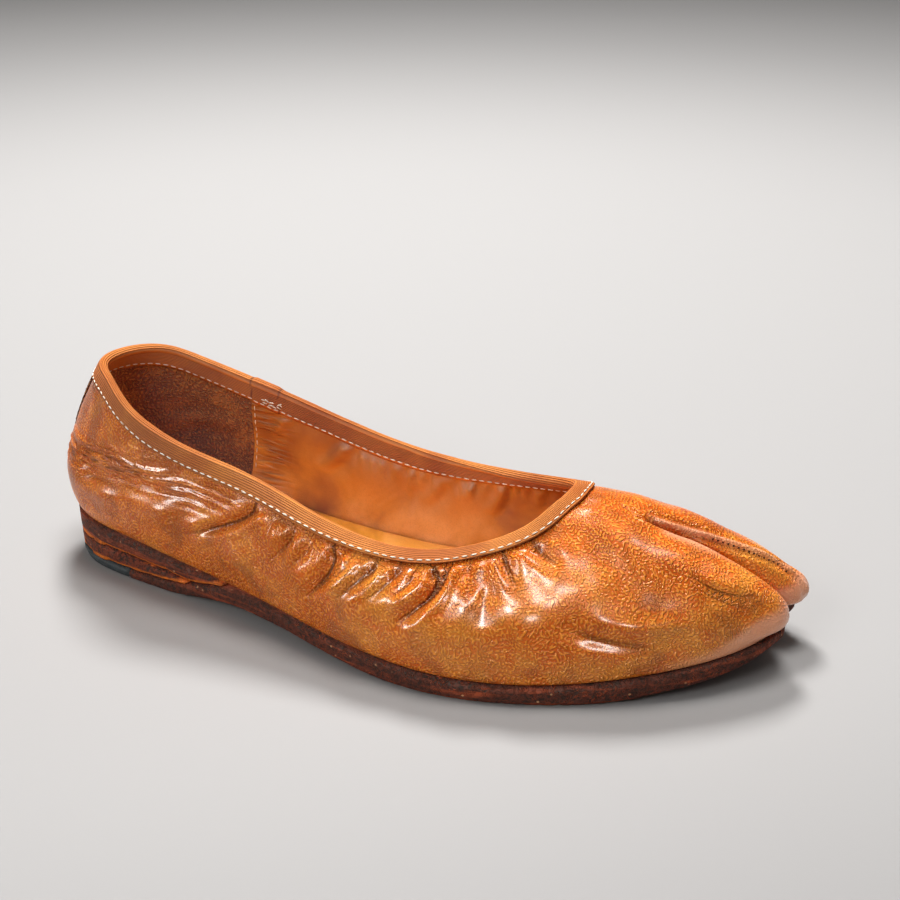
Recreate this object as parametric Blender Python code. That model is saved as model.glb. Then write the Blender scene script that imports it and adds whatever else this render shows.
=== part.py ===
"""Flat slip-on shoe with a split toe, for the right foot, standing empty on its sole.

While the pieces are shaped, x = 0 is the back of the sole and y = 0 the middle of the heel, +X runs to
the toe, +Y to the inner side of the foot and +Z up from the floor. At the end every piece is placed so
that the origin is on the floor, under the middle of the whole shoe. Lengths are in metres.
"""

import bmesh
import bpy
import numpy as np

# Main sizes of the last
LENGTH = 0.250
BALL_WIDTH = 0.086
TOPLINE_HEIGHT = 0.069
HEEL_HEIGHT = 0.0178
SOLE_EDGE = 0.0060
ARCH_RISE = 0.0036
TOE_SPRING = 0.0095

# Upper
UPPER_WALL = 0.0014
UPPER_ROWS = 13
UPPER_SPACING = 0.0054
CLEFT_SPACING = 0.0013
CLOSE_SPACING_WIDTH = 0.6
CLOSE_SPACING_FADE = 0.5

# Cleft between the big toe and the other toes
CLEFT_LENGTH = 0.046
CLEFT_GAP = 0.0012
CLEFT_OUTER_WIDTH = 0.010
CLEFT_INNER_WIDTH = 0.012
CLEFT_OUTER_FLARE = 3.0
CLEFT_INNER_FLARE = 2.0
CLEFT_START_WIDTH = 0.4
CLEFT_ROOT = 0.018
CLEFT_ROOT_UPRIGHT = 0.88
CLEFT_ROOT_CURVE = 0.7
CLEFT_DROP_CURVE = 1.6
CLEFT_FADE = 0.007
TOE_NOTCH = 0.006

# Binding round the topline
BINDING_WALL = 0.0008
BINDING_OUTSIDE = 0.0058
BINDING_INSIDE = 0.0070
BINDING_SPACING = 0.005
BINDING_FOLD_TURNS = (0, 45, 90, 135, 180)

# Strip over the back seam
STAY_WIDTH = 0.010
STAY_WALL = 0.0009
STAY_COLUMNS = 5
STAY_ROWS = 11

# Sole, heel lifts and insole
SOLE_RIM = 0.0010
SOLE_UNDERCUT = 0.04
SOLE_CHAMFER = 0.0008
SOLE_CHAMFER_TOP = 0.3
SOLE_STEP = 0.009
RUBBER_THICK = 0.0034
RUBBER_LENGTH = 0.0347
UPPER_LIFT_LENGTH = 0.077
LOWER_LIFT_LENGTH = 0.061
INSOLE_THICK = 0.0020

# Clearance between pieces that touch in the real shoe
FIT_GAP = 0.0003

# How finely curves are read
CURVE_SAMPLES = 161
ROUND_SAMPLES = 1600
NUDGE = 0.0001
BEYOND_ENDS = 0.275
SMOOTH_ANGLE = 40

# One row for each section round the shoe, from the back of the heel along the outer side, round the toe
# and back along the inner side. The sole and the topline are points in plan. The two handles shape the
# wall between them, as shares of its chord: lean and rise for the foot of the wall, reach and drop for
# its top.
SECTION_COLUMNS = ("sole_x", "sole_y", "top_x", "top_y", "top_z", "lean", "rise", "reach", "drop")
SECTIONS = (
    # of LENGTH, BALL_WIDTH, LENGTH, BALL_WIDTH, TOPLINE_HEIGHT, then four of the chord
    (0.008, 0.000, 0.058, 0.000, 0.994, 0.20, 0.19, 0.25, -0.40),
    (0.023, -0.155, 0.073, -0.105, 0.992, 0.18, 0.19, 0.23, -0.40),
    (0.056, -0.252, 0.100, -0.175, 0.980, 0.13, 0.19, 0.18, -0.38),
    (0.120, -0.314, 0.146, -0.270, 0.915, 0.14, 0.22, 0.13, -0.37),
    (0.220, -0.358, 0.232, -0.326, 0.803, 0.14, 0.25, 0.12, -0.33),
    (0.340, -0.418, 0.346, -0.340, 0.719, 0.11, 0.30, 0.20, -0.26),
    (0.460, -0.516, 0.452, -0.370, 0.602, 0.09, 0.36, 0.30, -0.14),
    (0.560, -0.578, 0.532, -0.374, 0.540, 0.08, 0.39, 0.35, -0.08),
    (0.640, -0.582, 0.586, -0.354, 0.530, 0.07, 0.38, 0.36, -0.04),
    (0.720, -0.532, 0.634, -0.306, 0.556, 0.06, 0.36, 0.37, 0.00),
    (0.800, -0.434, 0.674, -0.245, 0.602, 0.05, 0.33, 0.38, 0.01),
    (0.880, -0.294, 0.697, -0.195, 0.648, 0.05, 0.30, 0.40, 0.02),
    (0.938, -0.156, 0.708, -0.155, 0.684, 0.06, 0.27, 0.40, 0.02),
    (0.972, -0.020, 0.711, -0.130, 0.702, 0.12, 0.24, 0.40, -0.01),
    (0.988, 0.110, 0.715, -0.108, 0.710, 0.18, 0.22, 0.40, -0.02),
    (0.996, 0.225, 0.719, -0.082, 0.716, 0.18, 0.20, 0.40, -0.03),
    (0.995, 0.330, 0.721, -0.022, 0.718, 0.16, 0.11, 0.385, 0.01),
    (0.967, 0.407, 0.719, 0.058, 0.702, 0.14, 0.10, 0.38, 0.01),
    (0.896, 0.440, 0.708, 0.150, 0.664, 0.07, 0.14, 0.37, -0.02),
    (0.800, 0.428, 0.680, 0.236, 0.618, 0.06, 0.27, 0.33, -0.09),
    (0.700, 0.384, 0.618, 0.280, 0.588, 0.08, 0.33, 0.27, -0.12),
    (0.600, 0.330, 0.550, 0.298, 0.588, 0.10, 0.36, 0.18, -0.17),
    (0.480, 0.280, 0.458, 0.316, 0.610, 0.12, 0.34, 0.10, -0.25),
    (0.350, 0.282, 0.348, 0.322, 0.696, 0.13, 0.29, 0.08, -0.32),
    (0.220, 0.320, 0.230, 0.314, 0.812, 0.14, 0.25, 0.10, -0.36),
    (0.120, 0.310, 0.138, 0.284, 0.909, 0.14, 0.21, 0.13, -0.38),
    (0.056, 0.248, 0.092, 0.226, 0.968, 0.13, 0.19, 0.18, -0.39),
    (0.022, 0.150, 0.068, 0.124, 0.989, 0.18, 0.19, 0.23, -0.40),
)
CLEFT_SECTION = 15

# One row for each station along the sole: shares of ARCH_RISE and TOE_SPRING for its underside, of the
# heel's rise and TOE_SPRING for its top. The heel's low seam is a share of the way from the top of the
# rubber to the top of the sole, and its high seam a share of the way from the low seam to that top.
STATION_COLUMNS = ("station", "arch", "spring", "heel", "crown", "low_seam", "high_seam")
STATIONS = (
    (0.00, 0.00, 0.00, 1.00, 0.00, 0.00, 0.45),
    (0.14, 0.00, 0.00, 0.80, 0.00, 0.00, 0.45),
    (0.21, 0.00, 0.00, 0.62, 0.00, 0.09, 0.37),
    (0.26, 0.50, 0.00, 0.50, 0.00, 0.39, 0.04),
    (0.33, 1.00, 0.00, 0.36, 0.00, 1.00, 0.00),
    (0.40, 0.95, 0.00, 0.27, 0.00, 1.00, 0.00),
    (0.48, 0.55, 0.00, 0.17, 0.00, 1.00, 0.00),
    (0.56, 0.10, 0.00, 0.09, 0.00, 1.00, 0.00),
    (0.62, 0.00, 0.00, 0.03, 0.00, 1.00, 0.00),
    (0.72, 0.00, 0.00, 0.00, 0.00, 1.00, 0.00),
    (0.80, 0.00, 0.00, 0.00, 0.09, 1.00, 0.00),
    (0.88, 0.00, 0.25, 0.00, 0.30, 1.00, 0.00),
    (0.94, 0.00, 0.57, 0.00, 0.53, 1.00, 0.00),
    (1.00, 0.00, 1.00, 0.00, 0.76, 1.00, 0.00),
)

# Colour and roughness of each material
TAN_LEATHER = ((0.42, 0.15, 0.035), 0.35)
BROWN_TAPE = ((0.36, 0.13, 0.035), 0.6)
DARK_SUEDE = ((0.06, 0.025, 0.018), 0.9)
SOLE_LEATHER = ((0.10, 0.030, 0.022), 0.8)
GREY_RUBBER = ((0.035, 0.045, 0.050), 0.7)
LINING_LEATHER = ((0.50, 0.22, 0.07), 0.6)


def closed_spline(knots, values, at):
    """Read a smooth closed curve through the values, one per knot, where the last knot ends the round."""
    steps = np.diff(knots)
    count = len(steps)
    slopes = (np.roll(values, -1, axis=0) - values) / steps[:, None]
    system = np.zeros((count, count))
    for row in range(count):
        system[row, row - 1] += steps[row - 1]
        system[row, row] += 2 * (steps[row - 1] + steps[row])
        system[row, (row + 1) % count] += steps[row]
    bends = np.linalg.solve(system, 6 * (slopes - np.roll(slopes, 1, axis=0)))
    at = np.mod(at, knots[-1])
    low = np.clip(np.searchsorted(knots, at, side="right") - 1, 0, count - 1)
    high = (low + 1) % count
    step = steps[low][:, None]
    after = (at - knots[low])[:, None] / step
    before = 1 - after
    curve = (before**3 - before) * bends[low] + (after**3 - after) * bends[high]
    return before * values[low] + after * values[high] + curve * step**2 / 6


def read_table(stations, values, at):
    """Read a table smoothly, without overshoot and flat where two rows are equal."""
    steps = np.diff(stations)
    slopes = np.diff(values) / steps
    turns = np.zeros_like(values)
    same_way = slopes[:-1] * slopes[1:] > 0
    turns[1:-1][same_way] = 2 / (1 / slopes[:-1][same_way] + 1 / slopes[1:][same_way])
    turns[0] = slopes[0]
    turns[-1] = slopes[-1]
    at = np.clip(at, stations[0], stations[-1])
    low = np.clip(np.searchsorted(stations, at, side="right") - 1, 0, len(steps) - 1)
    step = steps[low]
    t = (at - stations[low]) / step
    return (
        values[low] * (1 + 2 * t) * (1 - t) ** 2
        + values[low + 1] * t**2 * (3 - 2 * t)
        + step * turns[low] * t * (1 - t) ** 2
        + step * turns[low + 1] * t**2 * (t - 1)
    )


def station_value(column, x):
    """Share that the named column of STATIONS has at this distance from the back of the sole."""
    table = np.array(STATIONS)
    return read_table(table[:, 0], table[:, STATION_COLUMNS.index(column)], np.asarray(x) / LENGTH)


def sole_bottom(x):
    return ARCH_RISE * station_value("arch", x) + TOE_SPRING * station_value("spring", x)


def sole_top(x):
    heel_rise = HEEL_HEIGHT - SOLE_EDGE
    return SOLE_EDGE + heel_rise * station_value("heel", x) + TOE_SPRING * station_value("crown", x)


def low_seam(x):
    """Top of the rubber tip and of the outsole under the lifts, which meets the sole's top past the heel."""
    return RUBBER_THICK + (sole_top(x) - RUBBER_THICK) * station_value("low_seam", x)


def high_seam(x):
    """Line between the two heel lifts."""
    return low_seam(x) + (sole_top(x) - low_seam(x)) * station_value("high_seam", x)


def section_table():
    """The sections in metres, with the handles as they are, and their places along the round."""
    units = (LENGTH, BALL_WIDTH, LENGTH, BALL_WIDTH, TOPLINE_HEIGHT, 1, 1, 1, 1)
    rows = np.array(SECTIONS) * units
    sides = np.linalg.norm(np.roll(rows[:, :2], -1, axis=0) - rows[:, :2], axis=1)
    return np.concatenate([[0], np.cumsum(sides)]), rows


KNOTS, ROWS = section_table()
ROUND = KNOTS[-1]
CLEFT_PLACE = KNOTS[CLEFT_SECTION]


def sections_at(places):
    """Columns of SECTIONS at places along the round, by name."""
    values = closed_spline(KNOTS, ROWS, places)
    return {name: values[:, column] for column, name in enumerate(SECTION_COLUMNS)}


def outward(places):
    """Unit vectors in plan that point out of the shoe, square to the sole's edge."""
    ahead = closed_spline(KNOTS, ROWS[:, :2], places + NUDGE)
    behind = closed_spline(KNOTS, ROWS[:, :2], places - NUDGE)
    along = ahead - behind
    along /= np.linalg.norm(along, axis=1)[:, None]
    return np.stack([along[:, 1], -along[:, 0]], axis=1)


def wall_curve(places, heights):
    """Outer face of the upper before the toe is split: heights run from 0 at the sole to 1 at the topline."""
    section = sections_at(places)
    out = outward(places)
    foot = np.stack([section["sole_x"], section["sole_y"]], axis=1) - SOLE_RIM * out
    foot = np.column_stack([foot, sole_top(foot[:, 0]) + FIT_GAP])
    top = np.stack([section["top_x"], section["top_y"], section["top_z"]], axis=1)
    chord = np.linalg.norm(top - foot, axis=1)[:, None]
    low = foot + chord * np.column_stack([section["lean"][:, None] * out, section["rise"]])
    run = foot[:, :2] - top[:, :2]
    run /= np.linalg.norm(run, axis=1)[:, None]
    high = top + chord * np.column_stack([section["reach"][:, None] * run, section["drop"]])
    inward = (high - top) / np.linalg.norm(high - top, axis=1)[:, None]
    top = top + inward * (BINDING_WALL + FIT_GAP)
    t = np.asarray(heights)[None, :, None]
    foot, low, high, top = (point[:, None, :] for point in (foot, low, high, top))
    return (1 - t) ** 3 * foot + 3 * (1 - t) ** 2 * t * low + 3 * (1 - t) * t**2 * high + t**3 * top


def ease(value):
    value = np.clip(value, 0, 1)
    return value * value * (3 - 2 * value)


def cleft_frame():
    """Start and tip of the cleft on the unsplit upper, and its directions in plan: along, and inwards."""
    line = wall_curve(np.array([CLEFT_PLACE]), np.linspace(0, 1, CURVE_SAMPLES))[0]
    away = np.linalg.norm(line[:, :2] - line[0, :2], axis=1)
    start = np.array([np.interp(CLEFT_LENGTH, away, line[:, axis]) for axis in range(3)])
    along = (line[0] - start)[:2]
    along /= np.linalg.norm(along)
    return start, line[0], along, np.array([-along[1], along[0]])


def split_toe(points, heights):
    """Fold the band over the cleft down into two facing walls that end on the sole."""
    start, tip, along, across = cleft_frame()
    middle = wall_curve(np.array([CLEFT_PLACE]), heights)[0]
    ahead = (points[..., :2] - start[:2]) @ along
    bend = (middle[:, :2] - start[:2]) @ across
    aside = (points[..., :2] - start[:2]) @ across - bend
    opened = ease(ahead / CLEFT_FADE)
    inner = aside > 0
    width = np.where(inner, CLEFT_INNER_WIDTH, CLEFT_OUTER_WIDTH)
    width = width * (CLEFT_START_WIDTH + (1 - CLEFT_START_WIDTH) * opened)
    near = np.clip(1 - np.abs(aside) / width, 0, 1)
    gone_ahead = np.clip(ahead / ((tip - start)[:2] @ along), 0, 1)
    gone_down = np.clip((start[2] - points[..., 2]) / (start[2] - tip[2]), 0, 1)
    drop = 1 - (1 - (gone_ahead + gone_down) / 2) ** CLEFT_DROP_CURVE
    root = CLEFT_ROOT * np.minimum(drop / CLEFT_ROOT_UPRIGHT, 1) ** CLEFT_ROOT_CURVE
    floor = sole_top(start[0] + CLEFT_ROOT * along[0]) + FIT_GAP
    depth = opened * near**2
    new_ahead = ahead + depth * (root - ahead)
    new_height = points[..., 2] + depth * (start[2] - (start[2] - floor) * drop - points[..., 2])
    flare = np.where(inner, CLEFT_INNER_FLARE, CLEFT_OUTER_FLARE)
    wall_aside = CLEFT_GAP / 2 + (width - CLEFT_GAP / 2) * (1 - near) ** flare
    new_aside = np.where(near > 0, np.sign(aside) * wall_aside, aside)
    new_aside = aside + opened * (new_aside - aside)
    plan = start[:2] + new_ahead[..., None] * along + (new_aside + bend)[..., None] * across
    return np.concatenate([plan, new_height[..., None]], axis=-1)


def split_wall(places, heights):
    """Outer face of the finished upper, with its lower edge level on the sole."""
    points = split_toe(wall_curve(places, heights), heights)
    lowest = sole_top(points[:, 0, 0]) + FIT_GAP
    if heights[0] == 0:
        points[:, 0, 2] = lowest
    points[..., 2] = np.maximum(points[..., 2], lowest.min())
    return points


def face_normals(points):
    """Unit normals of a grid of points that closes round its first axis, pointing out of the shoe."""
    round_the_shoe = np.roll(points, -1, axis=0) - np.roll(points, 1, axis=0)
    up_the_wall = np.gradient(points, axis=1)
    normals = np.cross(round_the_shoe, up_the_wall)
    return normals / np.linalg.norm(normals, axis=2)[:, :, None]


def even_places(speed, spacing):
    """Places along the round that are about one spacing apart, where speed gives the length per place."""
    dense = np.linspace(0, ROUND, ROUND_SAMPLES + 1)
    lengths = np.concatenate([[0], np.cumsum(speed((dense[1:] + dense[:-1]) / 2) * np.diff(dense))])
    count = int(round(lengths[-1] / spacing))
    return np.interp(np.arange(count) * lengths[-1] / count, lengths, dense)


def wall_places():
    """Places for the upper's sections: close together over the cleft and wider apart elsewhere."""

    def speed(places):
        away = np.abs(places - CLEFT_PLACE) / (CLEFT_INNER_WIDTH + CLEFT_SPACING)
        close = 1 - ease((away - CLOSE_SPACING_WIDTH) / CLOSE_SPACING_FADE)
        return 1 + (UPPER_SPACING / CLEFT_SPACING - 1) * close

    return even_places(speed, UPPER_SPACING)


def topline_places():
    """Places for the binding's sections, evenly spaced along the topline."""

    def speed(places):
        ahead = closed_spline(KNOTS, ROWS[:, 2:5], places + NUDGE)
        behind = closed_spline(KNOTS, ROWS[:, 2:5], places - NUDGE)
        return np.linalg.norm(ahead - behind, axis=1) / (2 * NUDGE)

    return even_places(speed, BINDING_SPACING)


def near_edge(places, below, offset):
    """Points a distance below the upper's top edge, along its wall, and offset outwards from its face."""
    heights = np.linspace(0, 1, CURVE_SAMPLES)
    points = wall_curve(places, heights)
    along = wall_curve(places + NUDGE, heights) - wall_curve(places - NUDGE, heights)
    normals = np.cross(along, np.gradient(points, axis=1))
    normals /= np.linalg.norm(normals, axis=2)[:, :, None]
    steps = np.linalg.norm(np.diff(points, axis=1), axis=2)
    lengths = np.column_stack([np.zeros(len(places)), np.cumsum(steps, axis=1)])
    at = np.clip(lengths[:, -1] - below, 0, lengths[:, -1])
    found = []
    for row, length in enumerate(lengths):
        point = [np.interp(at[row], length, points[row, :, axis]) for axis in range(3)]
        normal = [np.interp(at[row], length, normals[row, :, axis]) for axis in range(3)]
        found.append(np.add(point, np.multiply(normal, offset)))
    if below < 0:
        upward = points[:, -1] - points[:, -2]
        found -= below * upward / np.linalg.norm(upward, axis=1)[:, None]
    return np.array(found)


def finish(name, look):
    """A plain material from a colour and a roughness."""
    colour, roughness = look
    material = bpy.data.materials.new(name)
    material.use_nodes = True
    shader = material.node_tree.nodes["Principled BSDF"]
    shader.inputs["Base Color"].default_value = (*colour, 1)
    shader.inputs["Roughness"].default_value = roughness
    shader.inputs["Metallic"].default_value = 0
    return material


def add_solid(name, form, look):
    """Turn a closed bmesh into a named object, with its faces pointing out."""
    if form.calc_volume(signed=True) < 0:
        bmesh.ops.reverse_faces(form, faces=form.faces[:])
    bmesh.ops.triangulate(form, faces=form.faces[:])
    mesh = bpy.data.meshes.new(name)
    form.to_mesh(mesh)
    form.free()
    mesh.shade_smooth()
    mesh.set_sharp_from_angle(angle=np.radians(SMOOTH_ANGLE))
    mesh.materials.append(finish(name, look))
    solid = bpy.data.objects.new(name, mesh)
    bpy.context.scene.collection.objects.link(solid)
    return solid


def loft(rings, closed):
    """Skin a row of closed rings; closed joins the last ring to the first, otherwise both ends are capped."""
    form = bmesh.new()
    loops = [[form.verts.new(point) for point in ring] for ring in rings]
    pairs = list(zip(loops, loops[1:]))
    if closed:
        pairs.append((loops[-1], loops[0]))
    else:
        form.faces.new(loops[0][::-1])
        form.faces.new(loops[-1])
    for below, above in pairs:
        for i in range(len(below)):
            j = (i + 1) % len(below)
            form.faces.new((below[i], below[j], above[j], above[i]))
    return form


def make_upper():
    """The one-piece upper: outer face, lining face one wall inside it, and the edges between them."""
    heights = np.linspace(0, 1, UPPER_ROWS + 1)
    outer = split_wall(wall_places(), heights)
    normals = face_normals(outer)
    normals[:, 0, 2] = 0
    normals[:, 0] /= np.linalg.norm(normals[:, 0], axis=1)[:, None]
    inner = outer - UPPER_WALL * normals
    inner[:, 0, 2] = sole_top(inner[:, 0, 0]) + FIT_GAP
    inner[..., 2] = np.maximum(inner[..., 2], inner[:, :1, 2])
    rings = [outer[:, row] for row in range(UPPER_ROWS + 1)]
    rings += [inner[:, row] for row in range(UPPER_ROWS, -1, -1)]
    add_solid("upper", loft(rings, closed=True), TAN_LEATHER)
    return inner


def make_binding():
    """Folded tape over the topline, a little clear of both faces of the upper."""
    places = topline_places()
    over = FIT_GAP + BINDING_WALL
    lining = -UPPER_WALL - FIT_GAP
    middle = -UPPER_WALL / 2
    turns = np.radians(BINDING_FOLD_TURNS)
    fold = (
        (BINDING_OUTSIDE, over),
        (BINDING_OUTSIDE / 2, over),
        *((-over * np.sin(turn), middle + (over - middle) * np.cos(turn)) for turn in turns),
        (BINDING_INSIDE, lining - BINDING_WALL),
        (BINDING_INSIDE, lining),
        (BINDING_INSIDE / 2, lining),
        (-FIT_GAP, lining),
        (-FIT_GAP, FIT_GAP),
        (BINDING_OUTSIDE / 2, FIT_GAP),
        (BINDING_OUTSIDE, FIT_GAP),
    )
    rings = [near_edge(places, below, offset) for below, offset in fold]
    add_solid("topline_binding", loft(rings, closed=True), BROWN_TAPE)


def make_back_stay():
    """Narrow strip over the back seam, from the binding down to the sole."""
    middle = wall_curve(np.zeros(1), np.linspace(0, 1, CURVE_SAMPLES))[0]
    seam = np.linalg.norm(np.diff(middle, axis=0), axis=1).sum()
    places = np.linspace(-0.5, 0.5, STAY_COLUMNS) * STAY_WIDTH
    rings = []
    for below in np.linspace(BINDING_OUTSIDE + FIT_GAP, seam - STAY_WALL, STAY_ROWS):
        outside = near_edge(places, below, FIT_GAP + STAY_WALL)
        inside = near_edge(places, below, FIT_GAP)
        rings.append(np.concatenate([outside, inside[::-1]]))
    add_solid("back_stay", loft(rings, closed=False), DARK_SUEDE)


def edge_normals(outline):
    """Unit vectors in plan that point out of a closed outline drawn with the shoe's outside on its right."""
    along = np.roll(outline, -1, axis=0) - np.roll(outline, 1, axis=0)
    along /= np.linalg.norm(along, axis=1)[:, None]
    return np.stack([along[:, 1], -along[:, 0]], axis=1)


def nearness_to_cleft(outline):
    """Share of 1 for points of an outline on the cleft's line, falling to 0 at the width of its band."""
    start, tip, along, across = cleft_frame()
    aside = (outline - tip[:2]) @ across
    width = np.where(aside > 0, CLEFT_INNER_WIDTH, CLEFT_OUTER_WIDTH)
    ahead = (outline - start[:2]) @ along
    return np.clip(1 - np.abs(aside) / width, 0, 1) * (ahead > 0)


def sole_outline():
    """Edge of the sole in plan, with its notch between the toes."""
    section = sections_at(wall_places())
    outline = np.stack([section["sole_x"], section["sole_y"]], axis=1)
    along = cleft_frame()[2]
    return outline - TOE_NOTCH * nearness_to_cleft(outline)[:, None] ** 2 * along


def cut_flat(outline, first, last):
    """The outline as a flat face, cut off square at two places along x and crossed by cuts between them."""
    form = bmesh.new()
    form.faces.new([form.verts.new((x, y, 0)) for x, y in outline])
    for place, way in ((first, -1), (last, 1)):
        whole = form.verts[:] + form.edges[:] + form.faces[:]
        bmesh.ops.bisect_plane(
            form, geom=whole, plane_co=(place, 0, 0), plane_no=(way, 0, 0), clear_outer=True
        )
    start = max(first, outline[:, 0].min())
    stop = min(last, outline[:, 0].max())
    strips = int(np.ceil((stop - start) / SOLE_STEP))
    for place in np.linspace(start, stop, strips + 1)[1:-1]:
        whole = form.verts[:] + form.edges[:] + form.faces[:]
        bmesh.ops.bisect_plane(form, geom=whole, plane_co=(place, 0, 0), plane_no=(1, 0, 0))
    return form


def add_slab(name, outline, first, last, low, high, edge, look):
    """Flat piece between two heights that follow x.

    Each row of edge gives a share of the thickness, from the underside up, and how far in the side is there.
    """
    form = cut_flat(outline, first, last)
    raised = bmesh.ops.extrude_face_region(form, geom=form.faces[:])["geom"]
    for part in raised:
        if isinstance(part, bmesh.types.BMVert):
            part.co.z = 1
    if len(edge) > 2:
        sides = [line for line in form.edges if line.verts[0].co.z != line.verts[1].co.z]
        bmesh.ops.subdivide_edges(form, edges=sides, cuts=1)
    normals = edge_normals(outline)
    for vert in form.verts:
        share, chamfer = edge[int(round(vert.co.z * (len(edge) - 1)))]
        x = vert.co.x
        height = low(x) + share * (high(x) - low(x))
        nearest = np.argmin(np.linalg.norm(outline - (x, vert.co.y), axis=1))
        inset = chamfer + SOLE_UNDERCUT * (sole_top(x) - height)
        out = normals[nearest]
        vert.co = (x - inset * out[0], vert.co.y - inset * out[1], height)
    add_solid(name, form, look)


def make_sole():
    """Outsole, the two lifts of the heel and the rubber tip at its back, a little clear of each other."""
    outline = sole_outline()
    half_gap = FIT_GAP / 2
    worn_edge = ((0, SOLE_CHAMFER), (SOLE_CHAMFER_TOP, 0), (1, 0))
    cut_edge = ((0, 0), (1, 0))

    def outsole_top(x):
        return low_seam(x) - half_gap * (1 - station_value("low_seam", x))

    def floor(x):
        return 0.0

    def rubber_top(x):
        return RUBBER_THICK - half_gap

    def lower_lift_bottom(x):
        return low_seam(x) + half_gap

    def lower_lift_top(x):
        return high_seam(x) - half_gap

    def upper_lift_bottom(x):
        return high_seam(x) + half_gap

    layers = (
        ("outsole", RUBBER_LENGTH + FIT_GAP, BEYOND_ENDS, sole_bottom, outsole_top, worn_edge, SOLE_LEATHER),
        ("heel_tip", -BEYOND_ENDS, RUBBER_LENGTH, floor, rubber_top, worn_edge, GREY_RUBBER),
        ("lower_heel_lift", -BEYOND_ENDS, LOWER_LIFT_LENGTH, lower_lift_bottom, lower_lift_top, cut_edge,
         SOLE_LEATHER),
        ("upper_heel_lift", -BEYOND_ENDS, UPPER_LIFT_LENGTH, upper_lift_bottom, sole_top, cut_edge,
         SOLE_LEATHER),
    )
    for name, first, last, low, high, edge, look in layers:
        add_slab(name, outline, first, last, low, high, edge, look)


def make_insole(lining):
    """Insole inside the lining, slit where the cleft reaches in and clear of walls that lean in over it."""
    low = lining[:, 0, :2]
    normals = edge_normals(low)
    tops = sole_top(low[:, 0]) + FIT_GAP + INSOLE_THICK
    high = [[np.interp(top, wall[:, 2], wall[:, axis]) for axis in (0, 1)] for top, wall in zip(tops, lining)]
    leans_in = np.sum((low - high) * normals, axis=1) > 0
    outline = np.where(leans_in[:, None], high, low) - FIT_GAP * normals
    form = cut_flat(outline, -BEYOND_ENDS, BEYOND_ENDS)
    raised = bmesh.ops.extrude_face_region(form, geom=form.faces[:])["geom"]
    for part in raised:
        if isinstance(part, bmesh.types.BMVert):
            part.co.z = INSOLE_THICK
    for vert in form.verts:
        vert.co.z += sole_top(vert.co.x) + FIT_GAP
    add_solid("insole", form, LINING_LEATHER)


def stand_on_origin():
    """Move every piece so that the origin is on the floor, under the middle of the shoe."""
    corners = [np.array(vert.co) for solid in bpy.data.objects for vert in solid.data.vertices]
    lowest = np.min(corners, axis=0)
    highest = np.max(corners, axis=0)
    middle = (lowest + highest) / 2
    for solid in bpy.data.objects:
        solid.location = (-middle[0], -middle[1], -lowest[2])


def main():
    for thing in list(bpy.data.objects):
        bpy.data.objects.remove(thing)
    lining = make_upper()
    make_binding()
    make_back_stay()
    make_sole()
    make_insole(lining)
    stand_on_origin()


main()
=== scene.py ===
"""Finished look of a flat slip-on shoe with a split toe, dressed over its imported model."""

from functools import partial
from math import cos, pi, radians, sin, sqrt

import bmesh
import bpy
import numpy as np
from bpy.props import FloatProperty, FloatVectorProperty, PointerProperty
from mathutils import Matrix, Vector, noise
from mathutils.bvhtree import BVHTree


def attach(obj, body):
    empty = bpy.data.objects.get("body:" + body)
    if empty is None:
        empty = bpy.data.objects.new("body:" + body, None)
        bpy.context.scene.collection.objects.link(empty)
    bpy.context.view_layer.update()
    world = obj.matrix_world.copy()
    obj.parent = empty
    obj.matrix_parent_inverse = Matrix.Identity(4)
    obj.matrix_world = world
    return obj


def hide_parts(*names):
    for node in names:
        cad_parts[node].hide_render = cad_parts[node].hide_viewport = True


bl_info = {
    "name": "Flat split-toe shoe",
    "version": (1, 0, 0),
    "blender": (4, 5, 0),
    "location": "3D View > Sidebar > Flat shoe",
    "description": "Dresses the packed model of a flat split-toe shoe",
    "category": "Object",
}

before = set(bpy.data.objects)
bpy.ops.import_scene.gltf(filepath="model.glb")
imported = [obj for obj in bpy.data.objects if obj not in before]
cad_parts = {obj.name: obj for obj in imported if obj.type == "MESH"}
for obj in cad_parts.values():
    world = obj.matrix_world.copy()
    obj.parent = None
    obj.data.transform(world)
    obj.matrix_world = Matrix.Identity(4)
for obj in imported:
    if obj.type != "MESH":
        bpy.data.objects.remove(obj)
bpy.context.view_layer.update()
MM = 0.001

# The shoe's own coordinates: x from the back of the sole, y from the middle of the heel to the inner
# side of the foot, z from the floor. This is where their origin lies in the frame.
HEEL_BACK = Vector((-0.1232, 0.0063, 0))

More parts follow.
